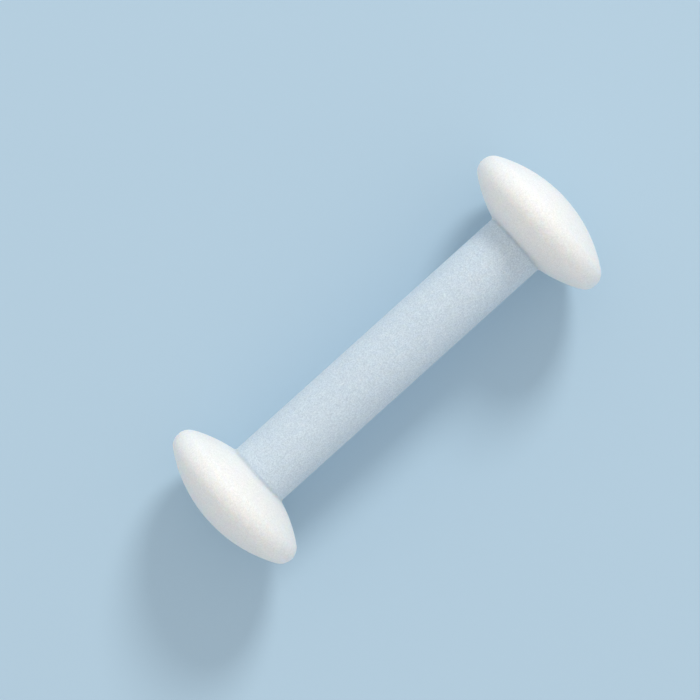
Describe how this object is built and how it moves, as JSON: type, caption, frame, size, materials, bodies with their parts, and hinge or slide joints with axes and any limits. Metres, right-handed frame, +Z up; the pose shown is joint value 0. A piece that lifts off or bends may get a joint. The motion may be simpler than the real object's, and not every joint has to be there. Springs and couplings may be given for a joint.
{
  "type": "magnetic stir bar",
  "caption": "Dumb-bell magnetic stir bar: a smooth round shaft with a lens-shaped disc at each end, moulded in white PTFE round a sealed magnet rod, spun in a vessel by a stirrer.",
  "frame": {"origin": "middle of the bar, on its axis, half-way between the two end discs", "axes": "+X along the bar's axis; +Z up when the bar lies on the rims of its two discs, which touch the floor at z = -9.5 mm"},
  "size_m": [0.054, 0.019, 0.019],
  "materials": {
    "white_ptfe": "smooth moulded PTFE, satin, opaque white on the discs and faintly grey-blue over the magnet",
    "magnet_alloy": "cast and ground magnet alloy, dark grey"
  },
  "bodies": {
    "root": {"ptfe_jacket": "white_ptfe", "magnet": "magnet_alloy"}
  },
  "joints": []
}
